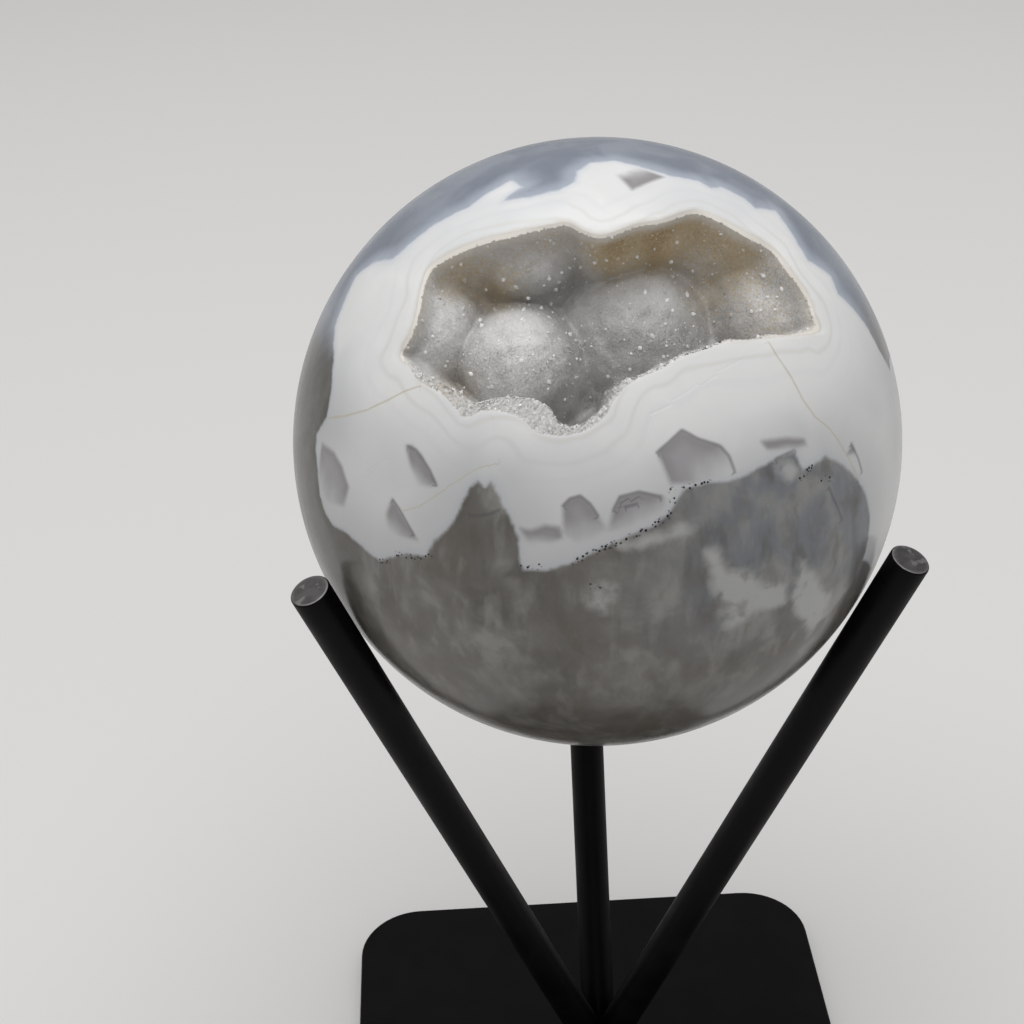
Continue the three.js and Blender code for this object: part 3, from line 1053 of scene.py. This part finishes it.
@dataclass
class AgateBall:
    """The stone and the crust of crystals in its hollow."""

    hollow: Hollow
    height: float
    crust_thickness: float = 1.7
    gap: float = 0.3
    skirt: float = 1.2
    chip_depth: float = 0.45
    rim_round: float = 0.25
    rim_round_width: float = 1.6
    rim_slope: float = 0.35
    least_edge: float = 0.35
    swell_height: float = 0.07
    swell_waves: int = 40
    swell_lengths: tuple[float, float] = (1.6, 4.5)
    scatter: float = 0.008
    grit: float = 0.05
    wall_rows: int = 26
    wall_shares: tuple[float, float] = (0.05, 0.97)
    back_shares: tuple[float, float] = (0.05, 0.95)
    ring_step: float = 0.45
    evening: float = 1.4
    back_step: float = 1.3
    fine_to_deg: float = 98.0
    lining_rows: int = 92
    row_power: float = 1.25
    sharp_stone_deg: float = 40.0
    sharp_crust_deg: float = 50.0
    edge_shares: tuple[float, ...] = (0.0, 0.0, 0.25, 0.5, 0.75, 1.0)
    seed: int = 7

    def in_part(self, points: Array) -> Array:
        """Return points of the hollow's frame in the part's frame."""
        return points @ self.hollow.frame() + [0, 0, self.height]

    def stone(self) -> Piece:
        """Build the ball with its hollow as one closed skin, and note its markings on it.

        Returns:
            The stone.
        """
        hollow, radius, columns = self.hollow, self.hollow.camera.ball_radius, self.hollow.columns
        outer, angles = wrapped(*hollow.outline(CRUST_OUTER_PX)), hollow.column_angles()
        shares = np.linspace(*self.wall_shares, self.wall_rows)
        rings = hollow.rings(shares, outer, self.crust_thickness + self.gap, columns // 2)
        u, v = hollow.spot(angles, np.interp(angles, *outer))
        edge = np.stack([u, v, hollow.polished(u, v)], axis=1)
        worn = self.rim_round * (1 - hollow.cut_at(v))
        rings += [edge - [0, 0, self.skirt], edge - worn[:, None] * [0, 0, 1.0]]
        middle = unit(np.array([*hollow.mouth_centre, hollow.polished(*hollow.mouth_centre)]))
        across = unit(np.cross([0.0, 1.0, 0.0], middle))
        axes = np.stack([across, np.cross(middle, across), middle])
        off = unit(edge) @ axes.T
        start = np.arccos(off[:, 2])
        bearing = np.unwrap(np.arctan2(off[:, 1], off[:, 0]))
        even = bearing.mean() + (np.arange(columns) - (columns - 1) / 2) * 2 * math.pi / columns
        fine_end = math.radians(self.fine_to_deg)
        rows = math.ceil((fine_end - start.min()) * radius / self.ring_step)
        for k in range(1, rows + 1):
            bend = start + (fine_end - start) * (k / rows)
            share = min(1.0, self.evening * (k / rows))
            turn = bearing + (even - bearing) * share**2 * (3 - 2 * share)
            fall = worn * np.maximum(1 - (bend - start) * radius / self.rim_round_width, 0) ** 2
            rings.append(self.on_sphere(bend, turn, axes) * (1 - fall / radius)[:, None])
        back = math.ceil((math.pi - fine_end) * radius / self.back_step)
        for k in range(1, back):
            bend = fine_end + (math.pi - fine_end) * k / back
            turn = even[:: columns // thinned(columns // 2, math.sin(bend))]
            rings.append(self.on_sphere(np.full(len(turn), bend), turn, axes))
        points, faces = stitch(rings)
        piece = shown("agate_stone", self.in_part(points), faces)
        piece.data.set_sharp_from_angle(angle=math.radians(self.sharp_stone_deg))
        self.mark(piece, points @ hollow.frame(), edge @ hollow.frame())
        return piece

    def on_sphere(self, bend: Array, turn: Array, axes: Array) -> Array:
        """Return points of the ball at angles from the mouth's middle and round it."""
        local = np.stack([np.sin(bend) * np.cos(turn), np.sin(bend) * np.sin(turn), np.cos(bend)], axis=1)
        return local @ axes * self.hollow.camera.ball_radius

    def white_outline(self) -> Array:
        """Return the corners of the white agate's outer edge, with its hidden stretch rounded off.

        Returns:
            Points on the ball, from its centre.
        """
        camera = self.hollow.camera
        hidden = np.radians(np.array(WHITE_HIDDEN_DEG, float))
        for _ in range(3):
            before, after = hidden[:-1], hidden[1:]
            rounded = np.stack([0.75 * before + 0.25 * after, 0.25 * before + 0.75 * after], axis=1)
            hidden = np.vstack([hidden[:1], rounded.reshape(-1, 2), hidden[-1:]])
        az, el = hidden.T
        unseen = np.stack([np.sin(az) * np.cos(el), -np.cos(az) * np.cos(el), np.sin(el)], axis=1)
        top, low = camera.on_ball(WHITE_TOP_PX), camera.on_ball(WHITE_LOW_PX)
        return np.vstack([top, unseen * camera.ball_radius, low])

    def mark(self, piece: Piece, points: Array, edge: Array) -> None:
        """Note how far each corner of the stone lies from every marking.

        Args:
            piece: the stone.
            points: its corners from the ball's centre, in the part's directions.
            edge: the outer edge of the crust, likewise.
        """
        camera, radius = self.hollow.camera, self.hollow.camera.ball_radius
        on_skin = unit(points) * radius
        from_rim = -inside_distance(on_skin, edge[::4], radius)
        milk, teeth = (
            np.array([inside_distance(on_skin, camera.on_ball(outline), radius) for outline in outlines])
            for outlines in (MILK_PX, TEETH_PX))
        base = np.empty(len(points))
        for number, tooth in enumerate(teeth):
            mine = teeth.argmax(axis=0) == number
            span = from_rim[tooth > 0]
            base[mine] = (from_rim[mine] - span.min()) / (span.max() - span.min())
        crack, fine, seam, speck_row = (
            side_distance(on_skin, [camera.on_ball(line) for line in lines], radius)
            for lines in (CRACKS_PX, (FINE_CRACK_PX,), SEAMS_PX, SPECK_ROWS_PX))
        slack = np.abs(fine) + FINE_CRACK_SLACK
        crack = np.where(slack < np.abs(crack), np.copysign(slack, fine), crack)
        note(
            piece, white_edge=inside_distance(on_skin, self.white_outline(), radius), rim_gap=from_rim,
            upper=1 - self.hollow.cut_at(points @ self.hollow.frame()[1]), milk=milk.max(axis=0),
            tooth=teeth.max(axis=0), tooth_base=np.clip(base, 0, 1), crack=crack, crack_away=np.abs(crack),
            seam=seam, seam_away=np.abs(seam), speck_row=np.abs(speck_row))

    def crust(self) -> tuple[Piece, Bed]:
        """Build the crust's skin: its cut edge in the polish, its lining and its underside.

        Returns:
            The crust, and the bed that its crystals grow on.
        """
        hollow, columns = self.hollow, self.hollow.columns
        outer, inner = (wrapped(*hollow.outline(pixels)) for pixels in (CRUST_OUTER_PX, CRUST_INNER_PX))
        angles = hollow.column_angles()
        far = np.interp(angles, *outer)
        near = np.minimum(np.interp(angles, *inner), far - self.least_edge)
        rim = wrapped(angles, near)
        roll = np.random.default_rng(self.seed)
        shares = np.linspace(*self.back_shares, self.wall_rows)
        rings = hollow.rings(shares, outer, self.crust_thickness, columns // 2)
        for number, share in enumerate(self.edge_shares):
            u, v = hollow.spot(angles, far + (near - far) * share)
            cut = hollow.cut_at(v)
            sunk = self.chip_depth * cut + (self.rim_round + self.rim_slope * share) * (1 - cut)
            if number == 0:
                sunk = np.maximum(sunk, self.skirt)
            if 0 < share < 1:
                sunk = sunk + roll.normal(0, self.grit, columns) * cut
            rings.append(np.stack([u, v, hollow.polished(u, v) - sunk], axis=1))
        first = sum(len(ring) for ring in rings)
        edge_rows = len(self.edge_shares)
        rows = 1 - (np.arange(1, self.lining_rows) / self.lining_rows) ** self.row_power
        points, faces = stitch(rings + hollow.rings(rows, rim, 0.0, columns))
        deep = np.maximum(hollow.under_polish(points), 0)
        lip = hollow.lip_at(points[:, 1], deep)
        lip[:first - edge_rows * columns] = 0
        scatter = roll.normal(0, self.scatter, points[first:].shape)
        swell = self.swell_height * ramp(deep[first:], 1, 3) * self.billows(points[first:], roll)
        points[first:] += scatter * (1 - lip[first:, None])
        points[first:, 2] += swell * (1 - lip[first:])
        piece = shown("druzy_lining", self.in_part(points), faces)
        piece.data.set_sharp_from_angle(angle=math.radians(self.sharp_crust_deg))
        u, v = points[:, 0], points[:, 1]
        # The lining gets no painted glints, and it gets painted shade in creases and deep down
        note(piece, stain=hollow.stain_at(u, v), frost=np.zeros(len(points)), lip=lip,
             cut=hollow.cut_at(v) * (deep < 1.0), gloom=hollow.gloom_at(u, v, rim))
        walls = [f for f in faces if min(f) >= first - (edge_rows - 1) * columns and len(f) < 5]
        trios = [(f[0], f[k], f[k + 1]) for f in walls for k in range(1, len(f) - 1)]
        corners = points[np.array(trios)]
        out = np.cross(corners[:, 1] - corners[:, 0], corners[:, 2] - corners[:, 0])
        log.info("the lining has %.0f square millimetres", 0.5 * np.linalg.norm(out, axis=1).sum())
        return piece, Bed(corners, unit(out), rim)

    def billows(self, points: Array, roll: np.random.Generator) -> Array:
        """Find a smooth random height of about one at each point, from waves that cross one another.

        Args:
            points: places in the hollow's frame.
            roll: the random numbers.

        Returns:
            The heights.
        """
        count = self.swell_waves
        ways = unit(roll.normal(0, 1, (count, 3)))
        waves = ways * (2 * math.pi / roll.uniform(*self.swell_lengths, (count, 1)))
        phases = roll.uniform(0, 2 * math.pi, count)
        return np.sqrt(2 / count) * np.cos(points @ waves.T + phases).sum(axis=1)


def soften(piece: Piece, ways: Array, softness: float) -> None:
    """Shade crystals as clear ones: light passes through them, so their facets differ less than opaque ones.

    Args:
        piece: joined crystals, each with as many faces as the next.
        ways: the direction that each crystal points in.
        softness: how far a facet's shading turns towards its crystal's direction.
    """
    faces = piece.data.polygons
    facets, corners = np.empty(3 * len(faces)), np.empty(len(faces), int)
    faces.foreach_get("normal", facets)
    faces.foreach_get("loop_total", corners)
    aims = np.repeat(ways, len(faces) // len(ways), axis=0)
    turned = facets.reshape(-1, 3) * (1 - softness) + aims * softness
    piece.data.normals_split_custom_set(np.repeat(unit(turned + 1e-6), corners, axis=0))


@dataclass(frozen=True)
class Growth:
    """One growth of crystals: how many, how large, how upright, how soft and how often one is painted white as
    a glint.

    The levels are where the rings of its crystals lie, as shares of their height over the foot.
    """

    name: str
    surface: Surface
    count: int
    sides: int
    radius: float
    height: float
    tilt: float
    softness: float
    shine: float
    seed: int
    size_spread: float = 0.22
    levels: tuple[float, ...] = (-0.45,)


@dataclass
class Druse:
    """The crystals that stand on the crust."""

    ball: AgateBall
    bed: Bed
    clear_of_polish: float = 0.06
    largest: float = 0.45
    # the weakest painted glint
    least_shine: float = 0.3
    frost_depths: tuple[float, float] = (0.2, 0.9)
    sugar_depth: float = 0.55
    growths: tuple[Growth, ...] = (
        Growth("druse_sugar_a", Surface.SUGAR, 45000, 3, 0.2, 0.085, 0.2, 0.88, 0.014, 11),
        Growth("druse_sugar_b", Surface.SUGAR, 45000, 3, 0.17, 0.09, 0.24, 0.86, 0.014, 12),
        Growth("druse_points", Surface.POINTS, 330, 6, 0.2, 0.34, 0.5, 0.4, 0.75, 13, 0.4, (-0.6, 0.25)),
        Growth("druse_rim", Surface.FROST, 1300, 4, 0.2, 0.13, 0.35, 0.75, 0.12, 14),
    )

    def sites(self, growth: Growth) -> tuple[Array, Array]:
        """Choose where the crystals of a growth stand.

        Args:
            growth: the growth.

        Returns:
            The foot of each crystal and the direction that it points.
        """
        draw, hollow, corners = np.random.default_rng(growth.seed), self.ball.hollow, self.bed.corners
        area = np.linalg.norm(np.cross(corners[:, 1] - corners[:, 0], corners[:, 2] - corners[:, 0]), axis=1)
        middle = corners.mean(axis=1)
        deep = hollow.under_polish(middle)
        if growth.surface is Surface.FROST:
            least, most = self.frost_depths
            area = area * (deep > least) * (deep < most) * hollow.cut_at(middle[:, 1])
        else:
            area = area * (deep > self.sugar_depth) * (1 - hollow.lip_at(middle[:, 1], deep)) ** 0.5
        total, count = np.cumsum(area), growth.count
        pick = np.searchsorted(total, (np.arange(count) + draw.random(count)) * total[-1] / count)
        pick = np.minimum(pick, len(total) - 1)
        a, b = draw.random((2, count, 1))
        flip = a + b > 1
        a, b = np.where(flip, 1 - a, a), np.where(flip, 1 - b, b)
        trio = corners[pick]
        foot = trio[:, 0] + a * (trio[:, 1] - trio[:, 0]) + b * (trio[:, 2] - trio[:, 0])
        return foot, unit(self.bed.out[pick] + draw.normal(0, growth.tilt, foot.shape) * 0.7)

    def grow(self, growth: Growth) -> Piece:
        """Build one growth as closed points.

        Args:
            growth: the growth.

        Returns:
            The joined crystals.
        """
        draw, hollow, count = np.random.default_rng(growth.seed + 100), self.ball.hollow, growth.sides
        foot, way = self.sites(growth)
        prism = len(growth.levels) > 1
        size = np.exp(np.minimum(draw.normal(0, growth.size_spread, (len(foot), 1)), self.largest))
        radius, height = growth.radius * size, growth.height * size
        tip = foot + way * height
        kept = np.linalg.norm(tip, axis=1) < hollow.camera.ball_radius - self.clear_of_polish
        foot, way, radius, height, tip = (x[kept] for x in (foot, way, radius, height, tip))
        side = unit(np.cross(way, draw.normal(0, 1, way.shape)))
        other = np.cross(way, side)
        turns = np.arange(count) * 2 * math.pi / count
        ring = [(side * math.cos(t) + other * math.sin(t)) * radius for t in turns]
        skin = [foot + way * height * level + r for level in growth.levels for r in ring]
        points = np.stack(skin + [tip], axis=1)
        per, last = points.shape[1], count if prism else 0
        after = [(k + 1) % count for k in range(count)]
        wall = [(k, after[k], count + after[k], count + k) for k in range(count)] if prism else []
        pattern = wall + [(last + k, last + after[k], per - 1) for k in range(count)]
        pattern.append(tuple(range(count - 1, -1, -1)))
        faces = [tuple(n * per + i for i in f) for n in range(len(points)) for f in pattern]
        piece = shown(growth.name, self.ball.in_part(points.reshape(-1, 3)), faces)
        soften(piece, way @ hollow.frame(), growth.softness)
        # A share of the crystals are painted white at random strength, as painted glints
        frost = (draw.random(len(foot)) < growth.shine) * draw.uniform(self.least_shine, 1.0, len(foot))
        u, v = foot[:, 0], foot[:, 1]
        # Every crystal gets the painted shade of its crease and depth
        kept = {"stain": hollow.stain_at(u, v), "frost": frost,
                "lip": hollow.lip_at(v, hollow.under_polish(foot)),
                "cut": np.full(len(foot), float(growth.surface is Surface.FROST)),
                "gloom": hollow.gloom_at(u, v, self.bed.rim)}
        note(piece, **{name: np.repeat(values, per) for name, values in kept.items()})
        return piece


@dataclass
class RodStand:
    """Three round rods that are welded together over a square plate."""

    rod_radius: float = 2.965
    rod_tilt: float = 22.2
    rod_length: float = 129.5
    rod_chamfer: float = 0.3
    rod_stub: float = 8.0
    rod_sides: int = 72
    rod_rows: int = 24
    end_radii: tuple[float, ...] = (2.45, 2.0, 1.4, 0.7, 0.2)
    azimuths: tuple[tuple[str, float], ...] = (("rod_back", 90.0), ("rod_left", 210.0), ("rod_right", 330.0))
    plate_side: float = 90.0
    plate_thickness: float = 4.0
    plate_corner: float = 12.0
    plate_bevel: float = 0.6
    corner_steps: int = 12
    crossing: float = 4.0
    weld_radius: float = 7.0
    weld_height: float = 3.6
    weld_sides: int = 144
    weld_rows: int = 14
    weld_beads: int = 9
    weld_ripple: float = 0.22
    weld_drift: float = 0.15
    weld_foot: float = -0.5

    def rod(self, node: str, azimuth: float, *finishes: Finish) -> None:
        """Build one rod with its broken edge and sawn end, trimmed at the crossing.

        Args:
            node: the CAD node that it stands for.
            azimuth: the side that it leans to.
            finishes: the finish of its length, and that of its sawn end.
        """
        turn = np.arange(self.rod_sides) * 2 * math.pi / self.rod_sides
        circle = np.stack([np.cos(turn), np.sin(turn), np.zeros_like(turn)], axis=1)
        wide, top, soft = self.rod_radius, self.rod_length, self.rod_chamfer
        profile = [(wide, -self.rod_stub)]
        profile += [(wide, z) for z in np.linspace(2.0, top - soft, self.rod_rows)]
        profile += [(wide - soft * (1 - math.cos(a)), top - soft * (1 - math.sin(a)))
                    for a in (math.pi / 6, math.pi / 3, math.pi / 2)]
        profile += [(r, top) for r in self.end_radii]
        points, faces = stitch([circle * [r, r, 0] + [0, 0, z] for r, z in profile])
        way = math.radians(azimuth)
        lean = np.array(Matrix.Rotation(way, 3, "Z") @ Matrix.Rotation(math.radians(self.rod_tilt), 3, "Y"))
        piece = shown(node + "_bar", points @ lean.T + [0, 0, self.plate_thickness + self.crossing], faces)
        note(piece, rim=np.hypot(points[:, 0], points[:, 1]) / wide)
        cuts = [((0, 0, (self.plate_thickness + 1) * MM), (0, 0, -1))]
        for side in (-1, 1):
            across = way + side * math.pi / 3 + side * math.pi / 2
            cuts.append(((0, 0, 0), (math.cos(across), math.sin(across), 0)))
        build = bmesh.new()
        build.from_mesh(piece.data)
        for at, away in cuts:
            whole = build.verts[:] + build.edges[:] + build.faces[:]
            cut = bmesh.ops.bisect_plane(build, geom=whole, plane_co=at, plane_no=away, clear_outer=True)
            rim = [e for e in cut["geom_cut"] if isinstance(e, bmesh.types.BMEdge)]
            bmesh.ops.holes_fill(build, edges=rim)
        sawn = Vector(lean @ [0, 0, 1])
        for face in build.faces:
            face.smooth = len(face.verts) == 4
            face.material_index = int(face.normal.dot(sawn) > 0.9)
        build.to_mesh(piece.data)
        build.free()
        settle(piece, "black_rod", finishes, node)

    def plate_ring(self, inset: float, z: float) -> Array:
        """Draw the plate's outline.

        Args:
            inset: how far it is drawn in.
            z: its height.

        Returns:
            The points of the outline.
        """
        points, middle = [], self.plate_side / 2 - self.plate_corner
        for quarter in range(4):
            corner = (quarter + 0.5) * math.pi / 2
            for step in range(self.corner_steps + 1):
                turn = (quarter + step / self.corner_steps) * math.pi / 2
                points.append([math.copysign(middle, wave(corner)) + (self.plate_corner - inset) * wave(turn)
                               for wave in (math.cos, math.sin)] + [z])
        return np.array(points)

    def plate(self, paint: Finish) -> None:
        """Build the plate with its rounded edges.

        Args:
            paint: its finish.
        """
        steps = [k * math.pi / 8 for k in range(5)]
        low = [(self.plate_bevel * (1 - math.sin(a)), self.plate_bevel * (1 - math.cos(a))) for a in steps]
        profile = low + [(inset, self.plate_thickness - z) for inset, z in reversed(low)]
        skin = stitch([self.plate_ring(inset, z) for inset, z in profile])
        settle(shown("plate", *skin), "black_plate", [paint], "base_plate")

    def weld(self, paint: Finish) -> None:
        """Build the rippled bead of weld that joins the rods to the plate.

        Args:
            paint: its finish.
        """
        turn = np.arange(self.weld_sides) * 2 * math.pi / self.weld_sides
        ripple = self.weld_ripple * np.abs(np.sin(turn * self.weld_beads + 0.5 * np.sin(3 * turn)))
        ripple += self.weld_drift * np.sin(2 * turn + 1)
        sizes = [(self.weld_radius, self.weld_foot + 0 * turn)]
        for k in range(self.weld_rows):
            a = k / self.weld_rows * math.pi / 2
            reach = (self.weld_radius + ripple * math.cos(a) - 0.3) * math.cos(a)
            sizes.append((reach, (self.weld_height - 0.2 + 0.5 * ripple * math.sin(2 * a)) * math.sin(a)))
        skin = stitch([
            np.stack([reach * np.cos(turn), reach * np.sin(turn), self.plate_thickness + lift], axis=1)
            for reach, lift in sizes])
        settle(shown("weld_bead", *skin), "black_plate", [paint])


@dataclass(frozen=True)
class Studio:
    """A plain pale floor under a wide soft light."""

    floor_side: float = 6.0
    floor_color: str = "#dcdbd9"
    sky_color: str = "#e9e9ea"
    sky_strength: float = 0.42
    key_power: float = 21.0
    key_side: float = 1.8
    key_place: tuple[float, float, float] = (-0.05, -0.1, 1.5)

    def build(self, aim: Vector) -> None:
        """Make the floor, the light and the sky.

        Args:
            aim: the place that the light points to.
        """
        half, scene = self.floor_side / 2, bpy.context.scene
        mesh = bpy.data.meshes.new("floor")
        corners = [(-half, -half, 0), (half, -half, 0), (half, half, 0), (-half, half, 0)]
        mesh.from_pydata(corners, [], [(0, 1, 2, 3)])
        floor = bpy.data.objects.new("floor", mesh)
        scene.collection.objects.link(floor)
        paper = Recipe("floor_paper", ())
        mesh.materials.append(paper.close({"Base Color": self.floor_color, "Roughness": 0.8}))
        key = bpy.data.lights.new("softbox", "AREA")
        key.energy, key.size = self.key_power, self.key_side
        softbox = bpy.data.objects.new("softbox", key)
        softbox.location = self.key_place
        softbox.rotation_euler = (aim - Vector(self.key_place)).to_track_quat("-Z", "Y").to_euler()
        scene.collection.objects.link(softbox)
        sky = bpy.data.worlds.new("studio")
        sky.use_nodes = True
        sky.node_tree.nodes.clear()
        light = {"Color": self.sky_color, "Strength": self.sky_strength}
        glow = add(sky.node_tree, "Background", light)
        add(sky.node_tree, "OutputWorld", {"Surface": glow.outputs[0]})
        scene.world = sky
        scene.view_settings.view_transform = "Standard"


def main() -> None:
    """Build the camera, the studio, the ball and the stand."""
    logging.basicConfig(level=logging.INFO, format="%(name)s: %(message)s")
    low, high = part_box("agate_sphere")
    height = (high.z / MM) - BALL_RADIUS_MM
    log.info("the ball's centre stands %.2f mm high", height)
    camera = PhotoCamera(ball_height=height, ball_radius=BALL_RADIUS_MM)
    camera.install()
    Studio().build(aim=(low + high) / 2)

    ball = AgateBall(Hollow(camera), height)
    settle(ball.stone(), "polished_agate", [PolishedAgate(ball_height=height).material()], "agate_sphere")
    lining, bed = ball.crust()
    quartz = DruzyQuartz().material()
    settle(lining, "druzy_quartz", [quartz], "druzy_crust")
    druse = Druse(ball, bed)
    for growth in druse.growths:
        settle(druse.grow(growth), "druzy_quartz", [quartz])

    stand = RodStand()
    paint, steel = SatinBlackPaint().material(), SawnSteel().material()
    for node, azimuth in stand.azimuths:
        stand.rod(node, azimuth, paint, steel)
    stand.plate(paint)
    stand.weld(paint)


if __name__ == "__main__":
    main()
